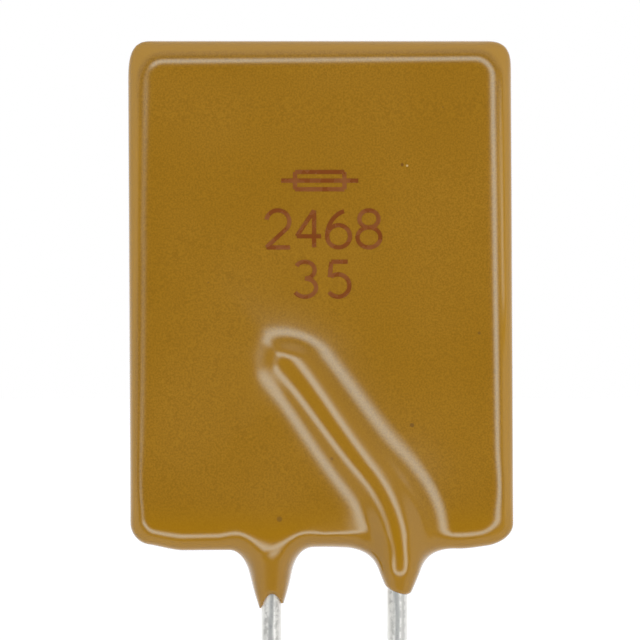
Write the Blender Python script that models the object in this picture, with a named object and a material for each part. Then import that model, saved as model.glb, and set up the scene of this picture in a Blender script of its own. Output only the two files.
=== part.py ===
"""Radial-leaded resettable fuse.

A sheet of conductive polymer lies between two foils. One tinned wire is soldered slantwise across each
face, the rear one as the front one turned half round, so the two cross. One dipped coat of epoxy covers
all of it, stands up in a ridge over each wire, and runs down each wire as a short tapered leg.

X is to the right and Z is up, seen from the front, and the front faces -Y. The origin lies midway between
the wires, in the middle of the thickness, at the height of the coat's lowest tip, where a board would be.
"""

import math

import bmesh
import bpy
import numpy as np

MM = 0.001

# The laminate, sheared to one rectangle
SHEET_WIDTH = 14.3 * MM
SHEET_HEIGHT = 19.4 * MM
SHEET_THICKNESS = 0.30 * MM
FOIL_THICKNESS = 0.035 * MM
LAMINATE_SHIFT = -0.58 * MM  # of its centre line from the middle of the wires

# The wires
WIRE_DIAMETER = 0.81 * MM
WIRE_PITCH = 5.1 * MM
WIRE_BELOW_SEAT = 7.6 * MM
WIRE_BEND_HEIGHT = 2.2 * MM
WIRE_BEND_RADIUS = 5.4 * MM
WIRE_SLANT = math.radians(38)
WIRE_SLANT_LENGTH = 6.0 * MM
WIRE_SIDES = 20
WIRE_BEND_STEPS = 8

# The solder, a low mound along each wire where it crosses the foil
SOLDER_FILM = 0.10 * MM  # from the foil to the wire
SOLDER_HALF_WIDTH = 0.75 * MM
SOLDER_HEIGHT = 0.50 * MM
SOLDER_END_TAPER = 0.60 * MM
SOLDER_PAST_WIRE = 0.40 * MM
SOLDER_FROM_EDGE = 0.30 * MM
SOLDER_ARC_STEPS = 10
SOLDER_TAPER_STEPS = 4
SOLDER_BLUNTNESS = 0.3  # the size of an end, as a share of the full section

# The coat on the plate
COAT_ON_FACE = 0.425 * MM
COAT_ON_EDGE = 0.60 * MM
COAT_SIDE_ROUNDING = 1.05 * MM
COAT_TOP_ROUNDING = 1.4 * MM
COAT_BOTTOM_ROUNDING = 0.83 * MM
COAT_SQUARENESS = 2.4  # of its corners: 2 makes them elliptical
COAT_BEAD = 0.12 * MM  # how much thicker it is at the top, where it drained and hung as it set
COAT_BEAD_REACH = 5.0 * MM

# The ridge over a wire, from its crest outwards on its two sides
COAT_ON_WIRE = 0.25 * MM
RIDGE_CREST = 0.45 * MM  # half the crest's width
STEEP_FLANK = 0.50 * MM
STEEP_FOOT = 0.32 * MM
STEEP_TAIL = 3.2 * MM
GENTLE_FLANK = 0.98 * MM
GENTLE_FOOT = 0.50 * MM
GENTLE_TAIL = 1.5 * MM
RIDGE_FOOT_SLOPE = 0.5  # where the foot becomes the tail, as a share of the flank's slope
RIDGE_SETBACK = 0.45 * MM  # of the crest's end from the wire's end
RIDGE_EXTRA = 0.20 * MM  # how much higher it stands at the leg
RIDGE_EXTRA_REACH = 4.0 * MM

# The legs
COAT_AT_TIP = 0.11 * MM
COAT_LEG_HEIGHT = 2.4 * MM  # from the seat to the plate's lower edge
COAT_TIP_ROUNDING = 0.15 * MM
LEG_BLEND = 1.2  # how far the plate's lower edge is drawn into a leg, as a share of its rounding
LEG_SPREAD = 1.2 * MM  # the height over which a leg becomes a ridge
LEG_SLOPE = 0.42  # of its front and back towards the tip
LEG_SHOULDER = 0.60 * MM  # above the tip, where its outer face becomes steeper
LEG_SHOULDER_SLOPE = 0.09
LEG_SHOULDER_ROUNDING = 0.10 * MM
LEG_TOP_ROUNDING = 0.25 * MM
LEG_NEAR = 0.8 * MM  # how far from the wire the leg's depth holds, and over what width it fades
LEG_FADE = 1.2 * MM
FRONT_TIP_HEIGHT = 0.68 * MM
FRONT_TIP_SLOPE = 0.28
FRONT_LEG_WEB = 0.10 * MM  # on each side of the wire at the tip
FRONT_LEG_SPREAD = 0.45
REAR_TIP_HEIGHT = 0.30 * MM
REAR_TIP_SLOPE = 0.50
REAR_LEG_WEB = 0.24 * MM
REAR_LEG_SPREAD = 0.15

# The mesh of the coat
COAT_CELL = 0.20 * MM
COAT_FACES_KEPT = 0.155
SETTLING_ROUNDS = 4
SETTLING_STEP = 0.02  # of a cell
LEAST_STEEPNESS = 0.05
EVENING_ROUNDS = 3

# What neighbours keep between them
CLEARANCE = 0.02 * MM

WIRE_RADIUS = WIRE_DIAMETER / 2
FOIL_CENTRE = SHEET_THICKNESS / 2 + CLEARANCE + FOIL_THICKNESS / 2
FOIL_FACE = FOIL_CENTRE + FOIL_THICKNESS / 2
WIRE_OFFSET = FOIL_FACE + SOLDER_FILM + WIRE_RADIUS
WIRE_BEND_END = WIRE_BEND_HEIGHT + WIRE_BEND_RADIUS * WIRE_SLANT
WIRE_END = WIRE_BEND_END + WIRE_SLANT_LENGTH
SHEET_BOTTOM = COAT_LEG_HEIGHT + COAT_ON_EDGE
SHEET_MIDDLE = (LAMINATE_SHIFT, 0, SHEET_BOTTOM + SHEET_HEIGHT / 2)
PLATE_HALF_THICKNESS = FOIL_FACE + COAT_ON_FACE
RIDGE_RISE = WIRE_OFFSET + WIRE_RADIUS + COAT_ON_WIRE - PLATE_HALF_THICKNESS
LEG_TOP = SHEET_BOTTOM + COAT_BOTTOM_ROUNDING


def clear_scene():
    for existing in list(bpy.data.objects):
        bpy.data.objects.remove(existing, do_unlink=True)


def material(name, colour, roughness, metallic=0.0):
    made = bpy.data.materials.new(name)
    made.use_nodes = True
    shader = made.node_tree.nodes["Principled BSDF"]
    shader.inputs["Base Color"].default_value = (*colour, 1)
    shader.inputs["Roughness"].default_value = roughness
    shader.inputs["Metallic"].default_value = metallic
    return made


def add_object(name, mesh, finish=None):
    made = bpy.data.objects.new(name, mesh)
    bpy.context.scene.collection.objects.link(made)
    if finish and not mesh.materials:
        mesh.materials.append(finish)
    return made


def add_cutter(name, mesh):
    cutter = add_object(name, mesh)
    cutter.hide_render = True
    cutter.display_type = "WIRE"
    return cutter


def turned_half_round(made):
    """The front piece's twin on the rear face."""
    made.rotation_euler.z = math.pi
    return made


def cut(target, cutter):
    difference = target.modifiers.new(cutter.name, "BOOLEAN")
    difference.operation = "DIFFERENCE"
    difference.solver = "EXACT"
    difference.object = cutter


def mesh_from(name, vertices, faces):
    mesh = bpy.data.meshes.new(name)
    mesh.from_pydata([tuple(v) for v in vertices], [], [tuple(f) for f in faces])
    edit = bmesh.new()
    edit.from_mesh(mesh)
    bmesh.ops.recalc_face_normals(edit, faces=edit.faces)
    edit.to_mesh(mesh)
    edit.free()
    return mesh


def slab(name, width, thickness, height, depth=0.0):
    """A sheared rectangle of the laminate, its middle at the given depth behind the middle plane."""
    corners = [
        (
            SHEET_MIDDLE[0] + side * width / 2,
            depth + face * thickness / 2,
            SHEET_MIDDLE[2] + end * height / 2,
        )
        for side in (-1, 1)
        for face in (-1, 1)
        for end in (-1, 1)
    ]
    faces = [(0, 1, 3, 2), (4, 6, 7, 5), (0, 4, 5, 1), (2, 3, 7, 6), (0, 2, 6, 4), (1, 5, 7, 3)]
    return mesh_from(name, corners, faces)


def wire_point(along):
    """A point of the front wire's centre line in the XZ plane, by its length from the seat, and its right."""
    turn = min(max(along - WIRE_BEND_HEIGHT, 0) / WIRE_BEND_RADIUS, WIRE_SLANT)
    right = np.array([math.cos(turn), math.sin(turn)])
    bend_centre = np.array([WIRE_PITCH / 2 - WIRE_BEND_RADIUS, WIRE_BEND_HEIGHT])
    straight = min(along - WIRE_BEND_HEIGHT, 0) + max(along - WIRE_BEND_END, 0)
    forward = np.array([-right[1], right[0]])
    return bend_centre + WIRE_BEND_RADIUS * right + straight * forward, right


def beside_wire(x, z):
    """How far points lie to the right of the front wire's centre line, and how far along it."""
    from_bend = np.stack([x - WIRE_PITCH / 2 + WIRE_BEND_RADIUS, z - WIRE_BEND_HEIGHT])
    right = np.array([math.cos(WIRE_SLANT), math.sin(WIRE_SLANT)])
    forward = np.array([-right[1], right[0]])
    past_bend = np.tensordot(forward, from_bend, 1)
    before_bend = from_bend[1] < 0
    aside = np.where(
        before_bend,
        from_bend[0],
        np.where(past_bend > 0, np.tensordot(right, from_bend, 1), np.hypot(*from_bend)),
    )
    turned = WIRE_BEND_RADIUS * np.arctan2(from_bend[1], from_bend[0])
    along = np.where(
        before_bend, from_bend[1], np.where(past_bend > 0, WIRE_BEND_RADIUS * WIRE_SLANT + past_bend, turned)
    )
    return aside - WIRE_BEND_RADIUS, along + WIRE_BEND_HEIGHT


def sweep(name, stations):
    """A closed tube through sections along the front wire: pairs of (length from the seat, [(right, depth)])."""
    vertices, faces = [], []
    for along, section in stations:
        centre, right = wire_point(along)
        for aside, depth in section:
            x, z = centre + aside * right
            vertices.append((x, -depth, z))
    count = len(stations[0][1])
    for ring in range(len(stations) - 1):
        for side in range(count):
            after = (side + 1) % count
            low, high = ring * count, (ring + 1) * count
            faces.append((low + side, low + after, high + after, high + side))
    faces.append(tuple(range(count)))
    faces.append(tuple(range(len(vertices) - count, len(vertices))))
    return mesh_from(name, vertices, faces)


def bend_stations():
    return list(np.linspace(WIRE_BEND_HEIGHT, WIRE_BEND_END, WIRE_BEND_STEPS + 1))


def wire_mesh(name, grown=0.0):
    """The front wire, or the room that it needs when it is grown."""
    angles = np.linspace(0, 2 * math.pi, WIRE_SIDES, endpoint=False)
    radius = WIRE_RADIUS + grown
    circle = [(radius * math.cos(a), WIRE_OFFSET + radius * math.sin(a)) for a in angles]
    heights = [-WIRE_BELOW_SEAT - grown, *bend_stations(), WIRE_END + grown]
    return sweep(name, [(along, circle) for along in heights])


def solder_stations():
    """Lengths along the wire for the solder's sections, and each one's share of the full size."""
    start = SHEET_BOTTOM + SOLDER_FROM_EDGE
    end = WIRE_END + SOLDER_PAST_WIRE
    turns = [0.5 * math.pi * step / SOLDER_TAPER_STEPS for step in range(SOLDER_TAPER_STEPS + 1)]
    taper = [(SOLDER_END_TAPER * (1 - math.cos(turn)), max(math.sin(turn), SOLDER_BLUNTNESS)) for turn in turns]
    inner = [s for s in bend_stations() if start + SOLDER_END_TAPER < s < end - SOLDER_END_TAPER]
    rising = [(start + length, share) for length, share in taper]
    falling = [(end - length, share) for length, share in reversed(taper)]
    return rising + [(length, 1.0) for length in inner] + falling


def solder_mesh(name, grown=0.0):
    """The mound under and beside the front wire, or the room that it needs when it is grown."""
    base = FOIL_FACE + CLEARANCE
    angles = np.linspace(0, math.pi, SOLDER_ARC_STEPS + 1)
    stations = solder_stations()
    middle = (stations[0][0] + stations[-1][0]) / 2
    sections = []
    for along, share in stations:
        half_width = SOLDER_HALF_WIDTH * share + grown
        height = (SOLDER_HEIGHT - CLEARANCE) * share + grown
        section = [(half_width * math.cos(a), base + height * math.sin(a)) for a in angles]
        if grown:
            section += [(-half_width, FOIL_CENTRE), (half_width, FOIL_CENTRE)]
        sections.append((along + math.copysign(grown, along - middle), section))
    return sweep(name, sections)


def blend(a, b, width):
    """The smaller of two fields, rounded where they meet."""
    near = np.maximum(width - np.abs(a - b), 0) / width
    return np.minimum(a, b) - width * near**2 / 4


def ramp(value, start, length):
    t = np.clip((value - start) / length, 0, 1)
    return t * t * (3 - 2 * t)


def fall(distance, flank, foot, tail):
    """1 at the crest of the ridge and 0 past its tail, by how steep it is in between."""
    spots = np.cumsum([0, RIDGE_CREST, flank, foot, tail])
    slopes = np.array([0, 1, 1, RIDGE_FOOT_SLOPE, 0])
    widths = np.diff(spots)
    turns = np.diff(slopes) / widths
    past = np.clip(distance[..., None] - spots[:-1], 0, widths)
    dropped = (slopes[:-1] * past + turns * past**2 / 2).sum(axis=-1)
    return 1 - dropped / ((slopes[:-1] + slopes[1:]) / 2 * widths).sum()


def ridge_height(x, z):
    """How far the coat stands out over the front wire, above the flat face."""
    aside, along = beside_wire(x, z)
    past_end = np.maximum(along - WIRE_END + RIDGE_SETBACK, 0)
    distance = np.hypot(aside, past_end)
    steep = fall(distance, STEEP_FLANK, STEEP_FOOT, STEEP_TAIL)
    gentle = fall(distance, GENTLE_FLANK, GENTLE_FOOT, GENTLE_TAIL)
    side = (1 + aside / np.maximum(distance, COAT_CELL * SETTLING_STEP)) / 2
    rise = RIDGE_RISE + RIDGE_EXTRA * (1 - ramp(along, SHEET_BOTTOM, RIDGE_EXTRA_REACH))
    return rise * (steep + (gentle - steep) * side)


def plate_edge(x, z):
    """0 where the plate is flat and 1 on its outline, rising between them over the rounding."""
    beyond_x = np.abs(x - SHEET_MIDDLE[0]) - SHEET_WIDTH / 2 - COAT_ON_EDGE
    beyond_z = np.abs(z - SHEET_MIDDLE[2]) - SHEET_HEIGHT / 2 - COAT_ON_EDGE
    across = np.maximum(1 + beyond_x / COAT_SIDE_ROUNDING, 0)
    up = np.maximum(1 + beyond_z / np.where(z < SHEET_MIDDLE[2], COAT_BOTTOM_ROUNDING, COAT_TOP_ROUNDING), 0)
    return (across**COAT_SQUARENESS + up**COAT_SQUARENESS) ** (1 / COAT_SQUARENESS)


def one_side(x, z, tip_height, tip_slope, web, spread):
    """The coat about the front wire: the edge of its leg, how far forward the leg's middle lies, how far
    forward the coat reaches, and how far short of the plate's flat rear face the leg's own back stays."""
    aside = x - WIRE_PITCH / 2
    rise = np.maximum(z - tip_height, 0)
    across = np.abs(aside) / (WIRE_RADIUS + web + spread * rise)
    down = np.maximum(1 - (z - tip_height + tip_slope * aside) / COAT_TIP_ROUNDING, 0)
    edge = np.hypot(across, down) + np.maximum(z - LEG_TOP, 0) / COAT_BOTTOM_ROUNDING
    front = WIRE_OFFSET + WIRE_RADIUS + COAT_AT_TIP
    shoulder = front + LEG_SLOPE * LEG_SHOULDER + LEG_SHOULDER_SLOPE * (rise - LEG_SHOULDER)
    outer = blend(front + LEG_SLOPE * rise, shoulder, LEG_SHOULDER_ROUNDING)
    back = LEG_SLOPE * rise + WIRE_RADIUS + COAT_AT_TIP - WIRE_OFFSET
    back = blend(back, PLATE_HALF_THICKNESS, LEG_TOP_ROUNDING)
    near = 1 - ramp(np.abs(aside), LEG_NEAR, LEG_FADE)
    lean = 1 - ramp(z, tip_height + LEG_SHOULDER, LEG_TOP - LEG_SHOULDER - tip_height)
    middle = (outer - back) / 2 * lean * near
    plate = PLATE_HALF_THICKNESS + ridge_height(x, z)
    leg_share = near * (1 - ramp(z, SHEET_BOTTOM - LEG_SPREAD, LEG_SPREAD))
    return edge, middle, plate + (outer - plate) * leg_share, (PLATE_HALF_THICKNESS - back) * near


def coat_field(points):
    """Negative inside the coat: its outline sets where it ends, and its depths how thick it is there."""
    x, y, z = np.moveaxis(points, -1, 0)
    front_leg = (FRONT_TIP_HEIGHT, FRONT_TIP_SLOPE, FRONT_LEG_WEB, FRONT_LEG_SPREAD)
    rear_leg = (REAR_TIP_HEIGHT, REAR_TIP_SLOPE, REAR_LEG_WEB, REAR_LEG_SPREAD)
    front_edge, front_middle, front, front_short = one_side(x, z, *front_leg)
    rear_edge, rear_middle, rear, rear_short = one_side(-x, z, *rear_leg)
    edge = blend(blend(plate_edge(x, z), front_edge, LEG_BLEND), rear_edge, LEG_BLEND)
    middle = rear_middle - front_middle
    bead = COAT_BEAD * ramp(z, SHEET_MIDDLE[2] + SHEET_HEIGHT / 2 - COAT_BEAD_REACH, COAT_BEAD_REACH)
    forwards = front - rear_short + middle + bead
    backwards = rear - front_short - middle + bead
    depth = np.where(y < middle, (middle - y) / forwards, (y - middle) / backwards)
    return (np.hypot(np.maximum(edge, 0), depth) - 1) * PLATE_HALF_THICKNESS


def settle(points, field, step):
    """Moves points on to the surface where the field is zero."""
    for _ in range(SETTLING_ROUNDS):
        slope = np.stack(
            [(field(points + d) - field(points - d)) / (2 * step) for d in np.eye(3) * step], axis=-1
        )
        steepness = np.maximum((slope**2).sum(axis=-1, keepdims=True), LEAST_STEEPNESS)
        points = points - field(points)[..., None] * slope / steepness
    return points


def evened(points, faces):
    """Each point half way to the middle of its neighbours."""
    ends = np.concatenate([np.stack([faces, np.roll(faces, turn, axis=1)], axis=-1) for turn in (1, -1)])
    ends = ends.reshape(-1, 2)
    total = np.zeros_like(points)
    np.add.at(total, ends[:, 0], points[ends[:, 1]])
    return (points + total / np.bincount(ends[:, 0])[:, None]) / 2


def level_surface(name, field, low, high, cell):
    """A mesh of the surface where the field is zero: one vertex in each cell that it crosses.

    The cells are fitted so that each end of the box falls in the middle of a cell, where a crest that
    only touches the box still has whole cells under it.
    """
    lines = []
    for start, end in zip(low, high):
        count = math.ceil((end - start) / cell)
        half = (end - start) / count / 2
        lines.append(np.linspace(start - half, end + half, count + 2))
    inside = field(np.stack(np.meshgrid(*lines, indexing="ij"), axis=-1)) < 0
    corners = [
        inside[i : i - 1 or None, j : j - 1 or None, k : k - 1 or None]
        for i in (0, 1)
        for j in (0, 1)
        for k in (0, 1)
    ]
    crossed = np.any(corners, axis=0) & ~np.all(corners, axis=0)
    number = np.full(crossed.shape, -1)
    number[crossed] = np.arange(crossed.sum())
    points = np.stack(
        [(line[place] + line[place + 1]) / 2 for line, place in zip(lines, np.nonzero(crossed))], axis=-1
    )
    rings = []
    for axis in range(3):
        order = (axis, (axis + 1) % 3, (axis + 2) % 3)
        side = np.transpose(inside, order)[:, 1:-1, 1:-1]
        around = np.transpose(number, order)
        ring = np.stack(
            [around[:, :-1, :-1], around[:, 1:, :-1], around[:, 1:, 1:], around[:, :-1, 1:]], axis=-1
        )
        rings.append(ring[side[:-1] & ~side[1:]])
        rings.append(ring[~side[:-1] & side[1:]][:, ::-1])
    faces = np.concatenate(rings)
    points = settle(points, field, cell * SETTLING_STEP)
    for _ in range(EVENING_ROUNDS):
        points = settle(evened(points, faces), field, cell * SETTLING_STEP)
    return mesh_from(name, points, faces)


def coat_mesh(name):
    half_width = SHEET_WIDTH / 2 + COAT_ON_EDGE
    reach = PLATE_HALF_THICKNESS + RIDGE_RISE + RIDGE_EXTRA
    low = (SHEET_MIDDLE[0] - half_width, -reach, 0)
    high = (SHEET_MIDDLE[0] + half_width, reach, SHEET_BOTTOM + SHEET_HEIGHT + COAT_ON_EDGE)
    return level_surface(name, coat_field, low, high, COAT_CELL)


def make_laminate():
    polymer = material("carbon_filled_polymer", (0.018, 0.018, 0.020), 0.65)
    foil = material("nickel_plated_foil", (0.52, 0.49, 0.44), 0.35, 1.0)
    add_object("ptc_sheet", slab("ptc_sheet", SHEET_WIDTH, SHEET_THICKNESS, SHEET_HEIGHT), polymer)
    for name, face in (("front_foil", -1), ("rear_foil", 1)):
        mesh = slab(name, SHEET_WIDTH, FOIL_THICKNESS, SHEET_HEIGHT, face * FOIL_CENTRE)
        add_object(name, mesh, foil)


def make_wires():
    tinned = material("tinned_copper", (0.62, 0.62, 0.59), 0.38, 1.0)
    mesh = wire_mesh("lead")
    mesh.shade_smooth()
    mesh.set_sharp_from_angle(angle=math.radians(50))
    add_object("front_lead", mesh, tinned)
    turned_half_round(add_object("rear_lead", mesh, tinned))
    room = wire_mesh("wire_room", CLEARANCE)
    return add_cutter("front_wire_room", room), turned_half_round(add_cutter("rear_wire_room", room))


def make_solder(wire_rooms):
    tin = material("solder", (0.55, 0.56, 0.56), 0.42, 1.0)
    mesh = solder_mesh("solder")
    mesh.shade_smooth()
    mesh.set_sharp_from_angle(angle=math.radians(50))
    front = add_object("front_solder", mesh, tin)
    rear = turned_half_round(add_object("rear_solder", mesh, tin))
    for mound, wire_room in zip((front, rear), wire_rooms):
        cut(mound, wire_room)
    room = solder_mesh("solder_room", CLEARANCE)
    return add_cutter("front_solder_room", room), turned_half_round(add_cutter("rear_solder_room", room))


def make_coat(rooms):
    epoxy = material("ochre_epoxy", (0.32, 0.156, 0.012), 0.28)
    mesh = coat_mesh("coating")
    mesh.shade_smooth()
    coat = add_object("coating", mesh, epoxy)
    thinned = coat.modifiers.new("fewer_faces_on_the_flats", "DECIMATE")
    thinned.ratio = COAT_FACES_KEPT
    thinned.use_collapse_triangulate = True
    stack = 2 * (FOIL_FACE + CLEARANCE)
    laminate = slab("laminate_room", SHEET_WIDTH + 2 * CLEARANCE, stack, SHEET_HEIGHT + 2 * CLEARANCE)
    cut(coat, add_cutter("laminate_room", laminate))
    for room in rooms:
        cut(coat, room)


def main():
    clear_scene()
    make_laminate()
    wire_rooms = make_wires()
    solder_rooms = make_solder(wire_rooms)
    make_coat([*wire_rooms, *solder_rooms])


main()
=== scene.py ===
"""The looks of the radial-leaded resettable fuse: its dipped ochre coat, its tinned leads and its print."""

import math

import bmesh
import bpy
import numpy as np
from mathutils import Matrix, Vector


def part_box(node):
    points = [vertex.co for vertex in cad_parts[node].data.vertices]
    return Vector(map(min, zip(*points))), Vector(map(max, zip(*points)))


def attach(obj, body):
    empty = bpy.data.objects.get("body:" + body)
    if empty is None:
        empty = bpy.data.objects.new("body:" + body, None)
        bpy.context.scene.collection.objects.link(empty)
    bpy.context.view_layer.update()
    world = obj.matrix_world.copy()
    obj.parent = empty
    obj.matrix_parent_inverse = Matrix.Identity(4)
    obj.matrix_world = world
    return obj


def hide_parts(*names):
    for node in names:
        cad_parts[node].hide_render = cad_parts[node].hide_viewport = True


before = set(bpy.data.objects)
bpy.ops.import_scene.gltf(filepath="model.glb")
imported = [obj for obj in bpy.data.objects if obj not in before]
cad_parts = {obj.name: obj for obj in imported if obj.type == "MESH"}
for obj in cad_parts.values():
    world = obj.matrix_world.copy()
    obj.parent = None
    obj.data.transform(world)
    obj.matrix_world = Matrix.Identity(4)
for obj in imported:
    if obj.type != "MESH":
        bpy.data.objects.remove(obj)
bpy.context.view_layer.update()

MM = 0.001

# Sizes read from the frame
sheet_low, sheet_high = (np.array(corner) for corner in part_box("ptc_sheet"))
_, foil_high = (np.array(corner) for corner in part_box("rear_foil"))
lead_low, lead_high = (np.array(corner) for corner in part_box("front_lead"))
coat_low, coat_high = (np.array(corner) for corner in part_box("coating"))

SHEET_MIDDLE = (sheet_low + sheet_high) / 2
PLATE_HALF_WIDTH = (coat_high[0] - coat_low[0]) / 2 + 0.02 * MM
PLATE_HALF_HEIGHT = coat_high[2] - SHEET_MIDDLE[2]
WIRE_RADIUS = (lead_high[1] - lead_low[1]) / 2
WIRE_OFFSET = -(lead_high[1] + lead_low[1]) / 2
WIRE_X = lead_high[0] - WIRE_RADIUS
WIRE_FOOT = lead_low[2]

# The wire's route
WIRE_BEND_HEIGHT = 2.2 * MM
WIRE_BEND_RADIUS = 5.4 * MM
WIRE_SLANT = math.radians(38)
WIRE_SLANT_LENGTH = 6.0 * MM
WIRE_BEND_END = WIRE_BEND_HEIGHT + WIRE_BEND_RADIUS * WIRE_SLANT
WIRE_END = WIRE_BEND_END + WIRE_SLANT_LENGTH

# The coat on the plate
FACE_DEPTH = foil_high[1] + 0.425 * MM  # of the flat faces, from the middle plane
PLATE_SHIFT = 0.03 * MM
PLATE_LEAN = 0.005  # to the right, for each unit of height downwards
LEFT_ROUNDING = 0.86 * MM  # at half height
LEFT_ROUNDING_LEAN = 0.014  # more of it upwards
RIGHT_ROUNDING = 1.08 * MM
TOP_ROUNDING = 1.48 * MM  # in the middle
TOP_ROUNDING_LEAN = 0.03  # more of it leftwards
BOTTOM_ROUNDING = 0.83 * MM
TOP_SQUARENESS = 3.0
BOTTOM_SQUARENESS = 2.0
INNER_CORNER = 0.3  # how much rounder the corners are inside the outline, in roundings
INNER_CORNER_FADE = (0.4, 0.6)  # where this begins to fade towards the outline, and the fade's width
TOP_BEAD = 0.12 * MM  # the coat is thicker where it drained and hung as it set
TOP_BEAD_REACH = 5.0 * MM
LEFT_CORNER_LIFT = 0.32 * MM
RIGHT_CORNER_LIFT = 0.21 * MM
CORNER_LIFT_REACH = 2.2 * MM
LOWER_EDGE_LEAN = 0.0065  # it hangs lower to the left
LOWER_EDGE_LEVEL = 5.0 * MM
MIDDLE_LIFT = 0.10 * MM  # of the lower edge between the legs
MIDDLE_LIFT_REACH = 2.4 * MM
MIDDLE_SHARPNESS = 0.22  # how much smaller its rounding is there

# The ridge over a wire, at distances from its crest in mm: how steep it is there, where its foot begins
# (in the slopes given here, at RIDGE_LOW and at RIDGE_HIGH), and how far and in what curve the rest
# runs out. The lamp draws a light line on it wherever the slope lies between 0.208 and 0.349.
GENTLE_SIDE = {
    "slopes": (
        (0, 0), (0.1, 0.05), (0.3, 0.208), (0.43, 0.277), (0.58, 0.349), (0.7, 0.41), (0.8, 0.45),
        (0.97, 0.45), (1.15, 0.42), (1.31, 0.349), (1.52, 0.277), (1.71, 0.208), (1.98, 0.14),
    ),
    "foot": (1.12, 1.26, 1.15),
    "run_out": (2.2, 2.0),
}
GENTLE_SIDE_LOW = {
    "slopes": (
        (0, 0), (0.1, 0.05), (0.3, 0.208), (0.43, 0.277), (0.58, 0.349), (0.7, 0.41), (0.8, 0.44),
        (0.95, 0.42), (1.08, 0.315), (1.22, 0.42), (1.36, 0.44), (1.45, 0.39), (1.55, 0.349),
        (1.68, 0.277), (1.83, 0.208), (2.05, 0.12),
    ),
    "foot": (1.40, 1.60, 0.80),
    "run_out": (2.0, 2.0),
}
STEEP_SIDE = {
    "slopes": (
        (0, 0), (0.1, 0.05), (0.3, 0.208), (0.42, 0.277), (0.54, 0.349), (0.62, 0.42), (0.74, 0.42),
        (0.86, 0.349), (1.04, 0.277), (1.20, 0.208), (1.42, 0.13), (1.8, 0.075),
    ),
    "foot": (0.76, 0.92, 0.76),
    "run_out": (6.2, 1.3),
}
STEEP_SIDE_END = {
    **STEEP_SIDE,
    "slopes": (
        (0, 0), (0.1, 0.04), (0.3, 0.17), (0.5, 0.29), (0.62, 0.345), (0.72, 0.35), (0.85, 0.31),
        (1.05, 0.26), (1.27, 0.19), (1.5, 0.12), (1.8, 0.08),
    ),
}
# Along the wire, where the low shape of the gentle side gives way to the other, and in what length
GENTLE_LOW = (3.8 * MM, 3.0 * MM)
STEEP_END = (10.0 * MM, 1.4 * MM)  # and where the steep side takes the shape of its end
STEEP_END_TURN = (0.35, 0.5)  # and how far to the left of the crest's end, by the distance from it
RIDGE_WANDER = 0.065 * MM  # of its crest, left and right of the wire's centre line
RIDGE_WANDER_TOP = 10.8 * MM
RIDGE_WANDER_LENGTH = 8.6 * MM
RIDGE_WANDER_MIDDLE = 0.3  # of its swing, which isn't centred on the wire
RIDGE_LOW = 3.5 * MM  # along the wire, between which the ridge's width changes
RIDGE_HIGH = 10.5 * MM
CREST_EDGE = (0.58, 0.40, 0.57)  # mm from the crest: in the slopes above, at RIDGE_LOW and at RIDGE_HIGH
SLOPE_STEPS = 400
CREST_POINT = 0.01 * MM  # within which left and right of the crest aren't told apart
SIDE_POWER = 2  # how late the steep side gives way to the gentle one round the ridge's end
RIDGE_SETBACK = 0.42 * MM  # of its end from the wire's end
RIDGE_END_RIGHT_LEAN = 0.6  # further back to the right
RIDGE_END_LEFT_LEAN = 0.28  # and to the left
RIDGE_END_POINT = 0.2 * MM
RIDGE_RISE = 0.745 * MM
RIDGE_EXTRA = 0.20 * MM  # how much higher it stands near the leg
RIDGE_EXTRA_START = 2.6 * MM
RIDGE_EXTRA_LENGTHS = (4.4 * MM, 2.6 * MM)  # in which its crest and its flanks' steepness ease off
RIDGE_EXTRA_FALL = (0.4 * MM, 0.9 * MM)  # from the crest, and the fall's width, on the gentle side
RIDGE_EXTRA_SINK = (0.42 * MM, 0.65 * MM)  # and on the steep side
RIDGE_EXTRA_FADE = (1.3 * MM, 2.6 * MM)  # of all this, outwards

# The bevel along the plate's sides and top
BEVEL_CORNER = 1.5 * MM
BEVEL_START = 1.04 * MM  # from the outline, at half height
BEVEL_LEAN = 0.010  # further in for each unit of height
BEVEL_LEFT_SHIFT = 0.16 * MM  # nearer the outline on the left at half height
BEVEL_LEFT_LEAN = 0.014  # and less so for each unit of height
BEVEL_TOP_LEAN = 0.008  # further in for each unit leftwards along the top
BEVEL_TURN = 0.60 * MM  # the width in which it turns down
BEVEL_SLOPE = 0.43
LIP_HEIGHT = 0.065 * MM  # of the faint step in it on the right, at half height
LIP_LEAN = 0.0032  # lower for each unit of height
LIP_START = 0.57 * MM  # outwards from the bevel's start
LIP_WIDTH = 0.28 * MM
LIP_LOW = 9.0 * MM  # the height where it begins to show, and in what length
LIP_LENGTH = 4.0 * MM
LIP_CORNER = (0.8 * MM, 1.0 * MM)  # its room to the top, and in what length it ends there
EDGE_POWER = 3.0  # how late the outline's own rounding begins beside it
UPPER_PART = (3.6 * MM, 3.0 * MM)  # the height where the plate begins to have it, and in what length

# The legs. A pair says where a change begins and in what length.
LEG_TOP = 4.0 * MM
LEG_SPREAD = (1.8 * MM, 1.2 * MM)  # the height where its face begins to turn into the plate's
LEG_REACH = (0.8 * MM, 1.2 * MM)  # the same to both sides of it
LEG_VALLEY_REACH = (1.1 * MM, 1.1 * MM)  # and for the valley behind it
LEG_TIP_ROUNDING = 0.15 * MM
LEG_TIP_FILM = 0.05 * MM
LEG_LEAN = (1.3 * MM, 1.7 * MM)  # the height where its middle begins to come back to the plate's
LEG_SLOPE = 0.42  # of its outer face towards the tip
LEG_INNER_SLOPE = 0.45
LEG_VALLEY_SLOPE = 0.37  # of the line where it meets the flat face, as it rises to both sides
LEG_VALLEY_POINT = 0.15 * MM
LEG_SHOULDER = 0.88 * MM  # above the tip, where the outer face becomes steeper
LEG_SHOULDER_SLOPE = 0.09
LEG_SHOULDER_ROUNDING = 0.06 * MM
LEG_TOP_ROUNDING = 0.24 * MM
LEG_PINCH_TOP = 1.4 * MM  # below which it narrows more and more
LEG_PINCH_POWER = 1.5
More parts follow.
